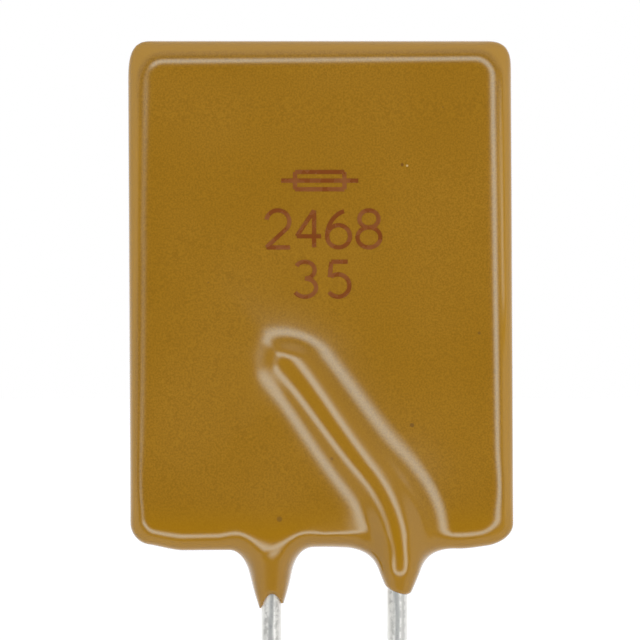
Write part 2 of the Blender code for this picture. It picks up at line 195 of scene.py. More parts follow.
LEG_WIDTH_HEIGHT = 1.0  # mm, the height at which its half width is given
LEG_ARCH_SPAN = 0.5 * MM  # from its middle, in which its tip rises by the arch
LEAST_LEG_WIDTH = 0.2 * MM
# In mm: the tip's height, arch and sideways drift, the valley where the leg meets the other face's flat,
# the half width and the pinch. By shares: the tip's tilt, the half width's growth upwards, how softly
# the outline runs into the plate's, and how flat the leg's face is.
FRONT_LEG = {
    "tip": 0.558, "tilt": -0.229, "arch": -0.085, "drift": 0.10, "valley": 2.5,
    "width": 0.635, "spread": 0.38, "flare": 1.0, "pinch": 0.10, "flatness": 1.1,
}
REAR_LEG = {
    "tip": 0.507, "tilt": -0.342, "arch": 0.724, "drift": 0.03, "valley": 2.36,
    "width": 0.79, "spread": 0.15, "flare": 1.58, "pinch": 0.17, "flatness": 1.8,
}
COAT_CELL = 0.11 * MM  # of the grid that its mesh is made from
COAT_MARGIN = 0.3 * MM  # of that grid, around the coat

# The coat's colours and how strongly they show, and its noises in waves for each metre
OCHRE = {
    "dark cloud": (0.327, 0.159, 0.0096),
    "light cloud": (0.350, 0.172, 0.0114),
    "grain": (0.228, 0.109, 0.0055),
    # painted light: the rounded edges lighter, as if they caught more light than the faces
    "rim_light": (0.400, 0.200, 0.008),
    # painted light: the raised ridge lighter and yellower, as if it caught more light
    "ridge": (0.345, 0.170, 0.0105),
    # painted light: the legs lighter and yellower, as if they caught more light
    "leg": (0.345, 0.165, 0.0020),
}
GRAIN_SHARE = 0.8
# How strongly the painted light on the rounded edges shows, and where
PAINTED_RIM_LIGHT_SHARE = 0.85
PAINTED_RIM_LIGHT_DEPTHS = (FACE_DEPTH * 0.7, FACE_DEPTH * 0.96)  # from the middle plane, between which the painted rim light fades out
PAINTED_RIM_LIGHT_HEIGHTS = (1.6 * MM, 2.6 * MM)  # between which it fades in
# How strongly the painted light on the ridge shows, and where
PAINTED_RIDGE_LIGHT_SHARE = 0.6
PAINTED_RIDGE_LIGHT_DEPTHS = (FACE_DEPTH * 1.4, FACE_DEPTH * 2.0)  # between which it fades in
# How strongly the painted light on the legs shows, and where
PAINTED_LEG_LIGHT_SHARE = 0.8
PAINTED_LEG_LIGHT_HEIGHTS = (2.6 * MM, 4.6 * MM)  # between which it fades out
COAT_CLOUDS = 160.0
COAT_GRAIN = 14000.0
COAT_SKIN = 900.0
COAT_SKIN_BUMPS = (0.03, 0.05 * MM)  # how strong and how deep
COAT_ROUGHNESS = (0.18, 0.22)
COAT_REFLECTION = (0.7, 1, 1)
MOST_NOISE = (0.3, 0.7)  # between which most of a noise lies

# The ink and the tin
INK_TONES = ((0.190, 0.048, 0.006), (0.225, 0.068, 0.0065))
INK_PATCHES = 1500.0
INK_ROUGHNESS = (0.22, 0.34)
TIN = {
    "bright": (0.84, 0.84, 0.81),
    "blot": (0.58, 0.58, 0.56),
    "streak": (0.66, 0.66, 0.635),
    # side: painted sheen, the pale tent's reflection as a lighter tone at the wire's sides
    "side": (0.95, 0.95, 0.925),
    # mark: a painted reflection, the dark round the lens as a dark line down the wire's middle
    "mark": (0.34, 0.35, 0.345),
}
TIN_BLOTS = 5200.0
TIN_STREAKS = 7000.0
TIN_DRAWN_OUT = 0.06  # the streaks' waves along the wire for one across it
TIN_PAINTED_DARK_LINE_EDGE = (0.03, 0.15)  # mm from the wire's middle line, between which the painted dark reflection fades out
TIN_PAINTED_SHEEN_EDGE = (0.22, 0.38)  # and the side's painted sheen fades in
TIN_WANDER = 700.0
TIN_WANDER_REACH = 0.04  # mm, of both to each side
TIN_ROUGHNESS = (0.56, 0.70)
TIN_BUMPS = (0.45, 0.02 * MM)

# The finishes inside: dark and light tone, noise, least roughness, how metallic, and the nodes with it
INSIDE_BUMPS = (0.3, 0.02 * MM)
INSIDE_ROUGHNESS_SPAN = 0.15
INSIDE = {
    "carbon_polymer": ((0.012, 0.012, 0.014), (0.03, 0.03, 0.032), 2500.0, 0.6, 0.0, "ptc_sheet"),
    "electrode_foil": ((0.46, 0.43, 0.38), (0.58, 0.55, 0.50), 1800.0, 0.32, 1.0, "front_foil", "rear_foil"),
    "tin_solder": ((0.48, 0.49, 0.49), (0.62, 0.63, 0.63), 2200.0, 0.3, 1.0, "front_solder", "rear_solder"),
}

# Specks in the coat: x, z and radius in mm, and colour
SPECK_SHARE = 0.75
SPECK_CORE = 0.5  # of its radius, from where it fades out
SPECKS = (
    (2.75, 17.97, 0.085, (0.13, 0.05, 0.012)),
    (2.95, 17.93, 0.055, (0.60, 0.45, 0.20)),
    (3.15, 7.42, 0.12, (0.15, 0.07, 0.014)),
    (5.87, 11.15, 0.08, (0.17, 0.08, 0.014)),
    (-2.22, 3.62, 0.15, (0.19, 0.09, 0.014)),
    (-0.10, 6.07, 0.09, (0.20, 0.09, 0.014)),
    (-5.10, 13.20, 0.05, (0.20, 0.09, 0.014)),
    (4.40, 20.30, 0.05, (0.20, 0.09, 0.014)),
)

# The print: glyphs as strokes, each from a point to a point or along an arc (centre, radii, start and end
# in degrees, and where it goes on to)
GLYPHS = {
    "2": (((0.31, 0.70), (0.31, 0.30), 170, -38, ((0.0, 0.0),)), ((0.0, 0.0), (0.64, 0.0))),
    "3": (((0.29, 0.76), (0.28, 0.24), 150, -90, ()), ((0.29, 0.26), (0.32, 0.26), 90, -150, ())),
    "4": (((0.47, 0.0), (0.47, 1.0)), ((0.47, 1.0), (0.0, 0.30)), ((0.0, 0.30), (0.66, 0.30))),
    "5": (
        ((0.56, 1.0), (0.09, 1.0)),
        ((0.09, 1.0), (0.05, 0.56)),
        ((0.29, 0.32), (0.32, 0.32), 130, -145, ()),
    ),
    "6": (((0.31, 0.30), (0.31, 0.30), 0, 360, ()), ((0.62, 0.30), (0.62, 0.70), 180, 105, ())),
    "8": (((0.31, 0.27), (0.31, 0.27), 0, 360, ()), ((0.31, 0.77), (0.26, 0.23), 0, 360, ())),
    "fuse": (
        ((0.0, 0.5), (2.5, 0.5)),
        ((0.45, 0.22), (2.05, 0.22)),
        ((0.45, 0.78), (2.05, 0.78)),
        ((0.45, 0.22), (0.45, 0.78)),
        ((2.05, 0.22), (2.05, 0.78)),
    ),
}
PRINT_ROWS = (  # glyphs, left edge, foot and height in mm, and the step from glyph to glyph in heights
    (("fuse",), -2.15, 16.70, 1.25, 1.0),
    (("2", "4", "6", "8"), -2.75, 14.62, 1.50, 0.82),
    (("3", "5"), -1.60, 12.62, 1.42, 0.95),
)
ARC_STEPS = 20
STROKE_WIDTH = 0.175 * MM
INK_HEIGHT = 0.012 * MM
INK_SINK = 0.004 * MM  # of the ink's middle, above the coat
STROKE_LIFT = 0.0002 * MM  # of each stroke above the one before

# The leads' mesh
LEAD_STEPS = 200
LEAD_SIDES = 40
LEAD_CHAMFER = 0.15 * MM  # up from the cut
LEAD_CUT = 0.88  # of the wire's radius there
TIN_UNEVENNESS = 0.006 * MM
TIN_LUMPS = 1400.0

# How the mesh settles on the coat's surface
SETTLING_ROUNDS = 4
SETTLING_STEP = 0.02
LEAST_STEEPNESS = 0.05
EVENING_ROUNDS = 3

# The view
VIEW_WIDTH = 25.96 * MM
VIEW_MIDDLE = (-0.578 * MM, 0, 11.68 * MM)
VIEW_DISTANCE = 400 * MM
VIEW_CLIP = (0.01, 10)
SENSOR_MM = 36

# The ring lamp and the tent, by degrees from the way to the lens
DEGREES = 180 / math.pi
RING_LIGHT = 4.2
RING_INNER_EDGE = (17.0, 30.0)
RING_OUTER_EDGE = (32.0, 45.0)
DIM_SIDE = math.radians(166)  # of the ring, in its plane from the right up and over
DIM_EDGE = (0.80, 0.98)  # cosines from that side, between which it dims
DIM_SHARE = 0.77
TENT_LIGHT = 0.74
TENT_STEPS = ((34.0, 44.0, 0.15), (50.0, 60.0, 0.85), (90.0, 150.0, 0.65))  # each rise's ends and its share

# The floor
FLOOR_RADIUS = 2.0
FLOOR_SIDES = 96
FLOOR_TONE = (0.5, 0.5, 0.5)
FLOOR_GLOW = 0.62


class Shade:
    """An output of a node tree. Arithmetic on it adds Math nodes, and make() adds any other node."""

    def __init__(self, tree, socket=None):
        self.tree = tree
        self.socket = socket

    def make(self, kind, inputs=None, output=0, **settings):
        """An output of a new node with these inputs and settings."""
        node = self.tree.nodes.new(kind)
        for name, value in settings.items():
            setattr(node, name, value)
        for name, value in (inputs or {}).items():
            if isinstance(value, Shade):
                self.tree.links.new(value.socket, node.inputs[name])
            else:
                node.inputs[name].default_value = value
        return Shade(self.tree, node.outputs[output])

    def maths(self, operation, *others, first=None):
        """The operation on this and the others, or on the first one given and the others."""
        operands = [self if first is None else first, *others]
        return self.make("ShaderNodeMath", dict(enumerate(operands)), operation=operation)

    def __add__(self, other):
        return self.maths("ADD", other)

    __radd__ = __add__

    def __sub__(self, other):
        return self.maths("SUBTRACT", other)

    def __rsub__(self, other):
        return self.maths("SUBTRACT", self, first=other)

    def __mul__(self, other):
        return self.maths("MULTIPLY", other)

    __rmul__ = __mul__

    def __truediv__(self, other):
        return self.maths("DIVIDE", other)

    def between(self, low, high, start=0.0, end=1.0):
        """Rises smoothly from start to end while this goes from low to high."""
        inputs = {"Value": self, "From Min": low, "From Max": high, "To Min": start, "To Max": end}
        return self.make("ShaderNodeMapRange", inputs, interpolation_type="SMOOTHSTEP")

    def mixed(self, a, b):
        """Colour a where this is 0, and b where it is 1."""
        a, b = (colour if isinstance(colour, Shade) else rgba(*colour) for colour in (a, b))
        return self.make("ShaderNodeMix", {0: self, 6: a, 7: b}, output=2, data_type="RGBA")

    def noise(self, scale, detail):
        """Noise at this place, in so many waves for each metre and octaves."""
        return self.make("ShaderNodeTexNoise", {"Vector": self, "Scale": scale, "Detail": detail})

    def bumped(self, strength, distance):
        """The normal of a surface that this rises and falls on."""
        inputs = {"Height": self, "Strength": strength, "Distance": distance}
        return self.make("ShaderNodeBump", inputs, output="Normal")

    def axis(self, name):
        """This place's or direction's X, Y or Z."""
        return self.make("ShaderNodeSeparateXYZ", {"Vector": self}, output=name)


def rgba(red, green, blue):
    """The colour, fully opaque."""
    return (red, green, blue, 1)


def new_material(name):
    """A material, its Principled shader, and the place on the object as a Shade."""
    made = bpy.data.materials.new(name)
    made.use_nodes = True
    place = Shade(made.node_tree).make("ShaderNodeTexCoord", output="Object")
    return made, made.node_tree.nodes["Principled BSDF"], place


def finish_with(shader, **values):
    """Gives the shader's sockets, named with _ for a blank, Shades to vary with and plain values."""
    for name, value in values.items():
        socket = shader.inputs[name.replace("_", " ")]
        if isinstance(value, Shade):
            value.tree.links.new(value.socket, socket)
        else:
            socket.default_value = value


def coat_material():
    """Glossy ochre epoxy with faint clouds, grain and specks, and painted light on its rounded edges, ridge
    and legs.
    """
    made, shader, place = new_material("ochre_epoxy")
    depth = place.axis("Y").maths("ABSOLUTE")
    height = place.axis("Z")
    cloud = place.noise(COAT_CLOUDS, 3.0)
    grain = place.noise(COAT_GRAIN, 2.0)
    tone = cloud.between(0.35, 0.65).mixed(OCHRE["dark cloud"], OCHRE["light cloud"])
    tone = (grain.between(0.25, 0.75) * GRAIN_SHARE).mixed(tone, OCHRE["grain"])
    # Painted light: the rounded edges made lighter, as if lit more than the flat faces
    rim_light = depth.between(*PAINTED_RIM_LIGHT_DEPTHS, PAINTED_RIM_LIGHT_SHARE, 0.0) * height.between(*PAINTED_RIM_LIGHT_HEIGHTS)
    tone = rim_light.mixed(tone, OCHRE["rim_light"])
    # Painted light: the ridge made lighter and yellower, as if its flanks were lit more
    tone = depth.between(*PAINTED_RIDGE_LIGHT_DEPTHS, 0.0, PAINTED_RIDGE_LIGHT_SHARE).mixed(tone, OCHRE["ridge"])
    # Painted light: the legs and the plate's foot made lighter and yellower, as if lit more
    tone = height.between(*PAINTED_LEG_LIGHT_HEIGHTS, PAINTED_LEG_LIGHT_SHARE, 0.0).mixed(tone, OCHRE["leg"])
    for x, z, radius, colour in SPECKS:
        spot = (x * MM, -front_reach(x * MM, z * MM), z * MM)
        away = place.make("ShaderNodeVectorMath", {0: place, 1: spot}, output="Value", operation="DISTANCE")
        tone = away.between(radius * SPECK_CORE * MM, radius * MM, SPECK_SHARE, 0.0).mixed(tone, colour)
    finish_with(
        shader,
        Base_Color=tone,
        Roughness=cloud.between(*MOST_NOISE, *COAT_ROUGHNESS),
        Normal=place.noise(COAT_SKIN, 1.0).bumped(*COAT_SKIN_BUMPS),
        Specular_IOR_Level=0.5,
        Specular_Tint=rgba(*COAT_REFLECTION),
        Coat_Weight=0.5,
        Coat_Roughness=0.10,
    )
    return made


def ink_material():
    """Dark red ink, thin in places."""
    made, shader, place = new_material("dark_red_ink")
    patch = place.noise(INK_PATCHES, 2.0)
    finish_with(
        shader,
        Base_Color=patch.between(0.35, 0.7).mixed(*INK_TONES),
        Roughness=patch.between(*MOST_NOISE, *INK_ROUGHNESS),
        Coat_Weight=0.3,
        Coat_Roughness=0.1,
    )
    return made


def inside_material(name, dark, light, scale, roughness, metallic):
    """The finish of a piece that the coat hides."""
    made, shader, place = new_material(name)
    cloud = place.noise(scale, 4.0)
    finish_with(
        shader,
        Base_Color=cloud.between(*MOST_NOISE).mixed(dark, light),
        Roughness=cloud.between(*MOST_NOISE, roughness, roughness + INSIDE_ROUGHNESS_SPAN),
        Normal=cloud.bumped(*INSIDE_BUMPS),
        Metallic=metallic,
    )
    return made


def tin_material():
    """Dull tin with draw marks along it, a painted dark reflection down the wire's front and back, and
    painted sheen at its sides.
    """
    made, shader, place = new_material("tinned_copper")
    drawn = place.make("ShaderNodeMapping", {"Vector": place, "Scale": (1.0, 1.0, TIN_DRAWN_OUT)})
    streak = drawn.noise(TIN_STREAKS, 3.0)
    blot = place.noise(TIN_BLOTS, 3.0)
    wander = place.noise(TIN_WANDER, 1.0).between(*MOST_NOISE, -TIN_WANDER_REACH, TIN_WANDER_REACH)
    aside = (place.axis("X").maths("ABSOLUTE") * 1000 - WIRE_X * 1000 + wander).maths("ABSOLUTE")
    # Painted reflection: a dark line down the wire's middle, front and back, broken by the blots
    mark = (1.0 - aside.between(*TIN_PAINTED_DARK_LINE_EDGE)) * blot.between(0.25, 0.6, 1.0, 0.75)
    tone = blot.between(0.4, 0.62).mixed(TIN["bright"], TIN["blot"])
    tone = streak.between(0.45, 0.7).mixed(tone, TIN["streak"])
    # Painted sheen: the wire's sides lighter, standing for the pale tent's reflection
    tone = aside.between(*TIN_PAINTED_SHEEN_EDGE).mixed(tone, TIN["side"])
    finish_with(
        shader,
        Base_Color=mark.mixed(tone, TIN["mark"]),
        Roughness=streak.between(*MOST_NOISE, *TIN_ROUGHNESS),
        Normal=(streak + blot).bumped(*TIN_BUMPS),
        Metallic=1.0,
    )
    return made


def beside_wire(x, z):
    """How far points lie to the right of the front wire's centre line, and how far along it."""
    from_bend = np.stack([x - WIRE_X + WIRE_BEND_RADIUS, z - WIRE_BEND_HEIGHT])
    right = np.array([math.cos(WIRE_SLANT), math.sin(WIRE_SLANT)])
    forward = np.array([-right[1], right[0]])
    past_bend = np.tensordot(forward, from_bend, 1)
    on_slant = past_bend > 0
    before_bend = from_bend[1] < 0
    aside = np.where(on_slant, np.tensordot(right, from_bend, 1), np.hypot(*from_bend))
    aside = np.where(before_bend, from_bend[0], aside)
    turned = WIRE_BEND_RADIUS * np.arctan2(from_bend[1], from_bend[0])
    along = np.where(on_slant, WIRE_BEND_RADIUS * WIRE_SLANT + past_bend, turned)
    along = np.where(before_bend, from_bend[1], along)
    return aside - WIRE_BEND_RADIUS, along + WIRE_BEND_HEIGHT


def blend(a, b, width):
    """The smaller of two fields, rounded where they meet."""
    near = np.maximum(width - np.abs(a - b), 0) / width
    return np.minimum(a, b) - width * near**2 / 4


def ramp(value, start, length):
    """Rises smoothly from 0 to 1 while the value goes over the length from the start."""
    t = np.clip((value - start) / length, 0, 1)
    return t * t * (3 - 2 * t)


def side_height(shape, distance, along):
    """The height of one side of the ridge, whose crest and foot move apart along the wire."""
    spots, steepness = np.array(shape["slopes"]).T
    spots = spots * MM
    fine = np.linspace(0, spots[-1], SLOPE_STEPS)
    slope = np.interp(fine, spots, steepness)
    area = np.concatenate([[0], np.cumsum((slope[1:] + slope[:-1]) / 2 * np.diff(fine))])
    share = np.clip((along - RIDGE_LOW) / (RIDGE_HIGH - RIDGE_LOW), 0, 1)
    edges = CREST_EDGE, shape["foot"]
    crest, foot = (drawn * MM for drawn, _, _ in edges)
    crest_here, foot_here = ((low + (high - low) * share) * MM for _, low, high in edges)
    flank, flank_here = foot - crest, foot_here - crest_here
    end_here = foot_here + spots[-1] - foot

    def fallen(reached):
        on_crest = np.minimum(reached, crest_here) * crest / crest_here
        on_flank = crest + np.clip(reached - crest_here, 0, flank_here) * flank / flank_here
        on_foot = foot + np.maximum(reached - foot_here, 0)
        below_crest = np.interp(on_flank, fine, area) - np.interp(crest, fine, area)
        below_flank = np.interp(on_foot, fine, area) - np.interp(foot, fine, area)
        above = np.interp(on_crest, fine, area) * crest_here / crest
        return above + below_crest * flank_here / flank + below_flank

    length, power = shape["run_out"]
    left = np.clip(1 - (distance - end_here) / (length * MM), 0, 1) ** power
    return RIDGE_RISE - fallen(distance) - (RIDGE_RISE - fallen(end_here)) * (1 - left)


def ridge_height(x, z):
    """How far the coat stands out over the front wire, above the flat face."""
    aside, along = beside_wire(x, z)
    swing = np.cos(2 * np.pi * (along - RIDGE_WANDER_TOP) / RIDGE_WANDER_LENGTH)
    aside = aside - RIDGE_WANDER * (swing - RIDGE_WANDER_MIDDLE)
    lean = np.where(aside > 0, RIDGE_END_RIGHT_LEAN, RIDGE_END_LEFT_LEAN)
    leant = lean * (np.hypot(aside, RIDGE_END_POINT) - RIDGE_END_POINT)
    past_end = np.maximum(along - WIRE_END + RIDGE_SETBACK + leant, 0)
    distance = np.hypot(aside, past_end)
    gentle = side_height(GENTLE_SIDE_LOW, distance, along)
    gentle = gentle + (side_height(GENTLE_SIDE, distance, along) - gentle) * ramp(along, *GENTLE_LOW)
    steep = side_height(STEEP_SIDE, distance, along)
    rightwards = aside / np.maximum(distance, CREST_POINT)
    merged = ramp(along, *STEEP_END) * ramp(-rightwards, *STEEP_END_TURN)
    steep = steep + (side_height(STEEP_SIDE_END, distance, along) - steep) * merged
    side = ((1 + rightwards) / 2) ** SIDE_POWER
    height = steep + (gentle - steep) * side
    run_outs = (1 - ramp(along, RIDGE_EXTRA_START, length) for length in RIDGE_EXTRA_LENGTHS)
    extra, steeper = (RIDGE_EXTRA * run_out for run_out in run_outs)
    fall, sink = (ramp(distance, *reach) for reach in (RIDGE_EXTRA_FALL, RIDGE_EXTRA_SINK))
    fade = 1 - ramp(distance, *RIDGE_EXTRA_FADE)
    return height + (extra - steeper * (sink + (fall - sink) * side)) * fade


def between_legs(x):
    """1 midway between the legs and less to both sides, down to 0."""
    return np.maximum(1 - (x / MIDDLE_LIFT_REACH) ** 2, 0) ** 2


def plate_rooms(x, z):
    """A point's place across the plate and up it, and its room to the plate's side and end."""
    x = x - SHEET_MIDDLE[0] - PLATE_SHIFT + PLATE_LEAN * (z - SHEET_MIDDLE[2])
    z = z - SHEET_MIDDLE[2]
    side_room = PLATE_HALF_WIDTH - np.abs(x)
    lift = np.where(x < 0, LEFT_CORNER_LIFT, RIGHT_CORNER_LIFT)
    corner = lift * np.maximum(1 - (side_room / CORNER_LIFT_REACH) ** 2, 0) ** 2
    middle = MIDDLE_LIFT * between_legs(x)
    hang = LOWER_EDGE_LEAN * np.maximum(LOWER_EDGE_LEVEL - x, 0)
    end_room = PLATE_HALF_HEIGHT - np.abs(z) - np.where(z < 0, corner + middle - hang, 0)
    return x, z, side_room, end_room


def plate_edge(x, z):
    """0 where the plate is flat and 1 on its outline, rising between them over the rounding."""
    x, z, side_room, end_room = plate_rooms(x, z)
    across = 1 - side_room / np.where(x < 0, LEFT_ROUNDING + LEFT_ROUNDING_LEAN * z, RIGHT_ROUNDING)
    below = BOTTOM_ROUNDING * (1 - MIDDLE_SHARPNESS * between_legs(x))
    up = 1 - end_room / np.where(z < 0, below, TOP_ROUNDING - TOP_ROUNDING_LEAN * x)
    power = np.where(z < 0, BOTTOM_SQUARENESS, TOP_SQUARENESS)
    outer = (np.maximum(across, 0) ** power + np.maximum(up, 0) ** power) ** (1 / power)
    rounder = np.hypot(np.maximum(across + INNER_CORNER, 0), np.maximum(up + INNER_CORNER, 0)) - INNER_CORNER
    return outer + (np.maximum(rounder, 0) - outer) * (1 - ramp(outer, *INNER_CORNER_FADE))


def bevel_depth(x, z):
    """How far the face falls back towards the plate's sides and top."""
    x, z, side_room, end_room = plate_rooms(x, z)
    top_room = np.where(z < 0, BEVEL_CORNER, end_room + BEVEL_TOP_LEAN * x)
    side_room = side_room + np.where(x < 0, BEVEL_LEFT_SHIFT - BEVEL_LEFT_LEAN * z, 0)
    short = [np.maximum(BEVEL_CORNER - room, 0) for room in (side_room, top_room)]
    inward = BEVEL_CORNER - np.hypot(*short) - BEVEL_START - BEVEL_LEAN * z
    turned = np.clip(-inward / BEVEL_TURN, 0, 1)
    depth = BEVEL_SLOPE * (BEVEL_TURN * turned**2 / 2 + np.maximum(-inward - BEVEL_TURN, 0))
    past_start = BEVEL_START + BEVEL_LEAN * z - side_room
    lip = (LIP_HEIGHT - LIP_LEAN * z) * ramp(past_start, LIP_START, LIP_WIDTH)
    lip = lip * (x > 0) * ramp(end_room, *LIP_CORNER) * ramp(z + SHEET_MIDDLE[2], LIP_LOW, LIP_LENGTH)
    return (depth - lip) * upper_part(z + SHEET_MIDDLE[2])


def upper_part(z):
    """1 where the plate has its bevel, and 0 below it."""
    return ramp(z, *UPPER_PART)


def leg_edge(x, z, leg):
    """0 on the middle line of a leg over the front wire and 1 on its outline."""
    aside = x - WIRE_X - leg["drift"] * MM
    pinch = leg["pinch"] * np.maximum(1 - z / LEG_PINCH_TOP, 0) ** LEG_PINCH_POWER
    half_width = (leg["width"] + leg["spread"] * (z / MM - LEG_WIDTH_HEIGHT) - pinch) * MM
    across = (np.abs(aside) / np.maximum(half_width, LEAST_LEG_WIDTH)) ** leg["flatness"]
    tip = (leg["tip"] - leg["arch"] * (aside / LEG_ARCH_SPAN) ** 2) * MM + leg["tilt"] * aside
    down = np.maximum(1 - (z - tip) / LEG_TIP_ROUNDING, 0)
    return np.hypot(across, down) + np.maximum(z - LEG_TOP, 0) / MM


def leg_depths(aside, z, leg):
    """How far a leg over the front wire reaches in front of the middle plane, and how far short of the
    flat rear face its own rear stays."""
    rise = np.maximum(z - leg["tip"] * MM, 0)
    front = WIRE_OFFSET + WIRE_RADIUS + LEG_TIP_FILM
    shoulder = front + LEG_SLOPE * LEG_SHOULDER + LEG_SHOULDER_SLOPE * (rise - LEG_SHOULDER)
    outer = blend(front + LEG_SLOPE * rise, shoulder, LEG_SHOULDER_ROUNDING)
    valley = leg["valley"] * MM + LEG_VALLEY_SLOPE * (np.hypot(aside, LEG_VALLEY_POINT) - LEG_VALLEY_POINT)
    return outer, -blend(LEG_INNER_SLOPE * (z - valley), 0 * z, LEG_TOP_ROUNDING)


def one_side(x, z, leg, bevel):
    """The front leg's edge and middle, the coat's reach in front of the middle plane, and how far short
    of the flat rear face the leg's own rear stays."""
    aside = np.abs(x - WIRE_X)
    outer, sunk = leg_depths(aside, z, leg)
    near = 1 - ramp(aside, *LEG_REACH)
    middle = (outer + sunk - FACE_DEPTH) / 2 * (1 - ramp(z, *LEG_LEAN)) * near
    bead = TOP_BEAD * ramp(z, SHEET_MIDDLE[2] + PLATE_HALF_HEIGHT - TOP_BEAD_REACH, TOP_BEAD_REACH)
    plate = FACE_DEPTH + bead + ridge_height(x, z) - bevel
    front = plate + (outer - plate) * near * (1 - ramp(z, *LEG_SPREAD))
    return leg_edge(x, z, leg), middle, front, sunk * (1 - ramp(aside, *LEG_VALLEY_REACH))


def front_reach(x, z):
    """How far the coat's front lies from the middle plane."""
    return one_side(x, z, FRONT_LEG, bevel_depth(x, z))[2]


def coat_field(points):
    """Below 0 in the coat, 0 on its surface and above 0 outside, in about the unit of length."""
    x, y, z = np.moveaxis(points, -1, 0)
    bevel = bevel_depth(x, z)
    front_edge, front_middle, front, front_sunk = one_side(x, z, FRONT_LEG, bevel)
    rear_edge, rear_middle, rear, rear_sunk = one_side(-x, z, REAR_LEG, bevel)
    edge = blend(blend(plate_edge(x, z), front_edge, FRONT_LEG["flare"]), rear_edge, REAR_LEG["flare"])
    edge = np.maximum(edge, 0) ** (1 + (EDGE_POWER - 1) * upper_part(z))
    middle = rear_middle - front_middle
    forwards = front - rear_sunk + middle
    backwards = rear - front_sunk - middle
    depth = np.where(y < middle, (middle - y) / forwards, (y - middle) / backwards)
    return (np.hypot(edge, depth) - 1) * FACE_DEPTH


def settle(points, field, step):
    """Moves points on to the surface where the field is zero."""
    for _ in range(SETTLING_ROUNDS):
        slope = np.stack(
            [(field(points + d) - field(points - d)) / (2 * step) for d in np.eye(3) * step], axis=-1
        )
        steepness = np.maximum((slope**2).sum(axis=-1, keepdims=True), LEAST_STEEPNESS)
        points = points - field(points)[..., None] * slope / steepness
    return points


def evened(points, faces):
    """Each point half way to the middle of its neighbours."""
    ends = np.concatenate([np.stack([faces, np.roll(faces, turn, axis=1)], axis=-1) for turn in (1, -1)])
    ends = ends.reshape(-1, 2)
    total = np.stack([np.bincount(ends[:, 0], points[ends[:, 1], axis]) for axis in range(3)], axis=-1)
    return (points + total / np.bincount(ends[:, 0])[:, None]) / 2


def level_surface(name, field, low, high, cell):
    """A mesh of the surface where the field is zero: one vertex in each cell that it crosses."""
    lines = []
    for start, end in zip(low, high):
        count = math.ceil((end - start) / cell)
        half = (end - start) / count / 2
        lines.append(np.linspace(start - half, end + half, count + 2))
    inside = field(np.stack(np.meshgrid(*lines, indexing="ij"), axis=-1)) < 0
    corners = [
        inside[i : i - 1 or None, j : j - 1 or None, k : k - 1 or None]
        for i in (0, 1)
        for j in (0, 1)
        for k in (0, 1)
    ]
    crossed = np.any(corners, axis=0) & ~np.all(corners, axis=0)
    number = np.full(crossed.shape, -1)
    number[crossed] = np.arange(crossed.sum())
    points = np.stack(
        [(line[place] + line[place + 1]) / 2 for line, place in zip(lines, np.nonzero(crossed))], axis=-1
    )
    rings = []
    for axis in range(3):
        order = (axis, (axis + 1) % 3, (axis + 2) % 3)
        side = np.transpose(inside, order)[:, 1:-1, 1:-1]
        around = np.transpose(number, order)
        ring = np.stack(
            [around[:, :-1, :-1], around[:, 1:, :-1], around[:, 1:, 1:], around[:, :-1, 1:]], axis=-1
        )
        rings.append(ring[side[:-1] & ~side[1:]])
        rings.append(ring[~side[:-1] & side[1:]][:, ::-1])
    faces = np.concatenate(rings)
    points = settle(points, field, cell * SETTLING_STEP)
    for _ in range(EVENING_ROUNDS):
        points = settle(evened(points, faces), field, cell * SETTLING_STEP)
    mesh = bpy.data.meshes.new(name)
    mesh.from_pydata(points.tolist(), [], faces.tolist())
    mesh.shade_smooth()
    return mesh


def add_object(name, data):
    """An object in the scene with this mesh or camera."""
    made = bpy.data.objects.new(name, data)
    bpy.context.scene.collection.objects.link(made)
    return made


def dress(piece, slot, *nodes):
    """The piece rides on the part and stands for the nodes, which are hidden; the slot is not used."""
    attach(piece, "root")
    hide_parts(*nodes)


def make_coat():
    """The dipped coat, in place of the solid one."""
    low = np.array([coat_low[0], coat_low[1], 0]) - COAT_MARGIN
    high = np.array([coat_high[0], coat_high[1], SHEET_MIDDLE[2] + PLATE_HALF_HEIGHT]) + COAT_MARGIN
    coat = add_object("dipped_coat", level_surface("dipped_coat", coat_field, low, high, COAT_CELL))
    coat.data.materials.append(coat_material())
    dress(coat, "epoxy_coat", "coating")


def geometry_tree(name, numbers):
    """A Geometry Nodes tree with named numbers and a material to be given, and these as Shades."""
    tree = bpy.data.node_groups.new(name, "GeometryNodeTree")
    tree.interface.new_socket("Geometry", in_out="INPUT", socket_type="NodeSocketGeometry")
    tree.interface.new_socket("Geometry", in_out="OUTPUT", socket_type="NodeSocketGeometry")
    for number in numbers:
        tree.interface.new_socket(number, in_out="INPUT", socket_type="NodeSocketFloat")
    tree.interface.new_socket("Material", in_out="INPUT", socket_type="NodeSocketMaterial")
    given = tree.nodes.new("NodeGroupInput")
    return tree, {socket.name: Shade(tree, socket) for socket in given.outputs if socket.name}


def finish_tree(geometry, given):
    """Ends a Geometry Nodes tree in real geometry with its material."""
    real = geometry.make("GeometryNodeRealizeInstances", {"Geometry": geometry})
    dressed = real.make("GeometryNodeSetMaterial", {"Geometry": real, "Material": given["Material"]})
    end = dressed.tree.nodes.new("NodeGroupOutput")
    dressed.tree.links.new(dressed.socket, end.inputs["Geometry"])


def from_nodes(name, tree, start, values):
    """The mesh that a Geometry Nodes tree makes of a start mesh."""
    source = add_object(name + "_start", start)
    modifier = source.modifiers.new("nodes", "NODES")
    modifier.node_group = tree
    for item in tree.interface.items_tree:
        if item.in_out == "INPUT" and item.name in values:
            modifier[item.identifier] = values[item.name]
    evaluated = source.evaluated_get(bpy.context.evaluated_depsgraph_get())
    mesh = bpy.data.meshes.new_from_object(evaluated)
    mesh.name = name
    bpy.data.objects.remove(source)
    return mesh


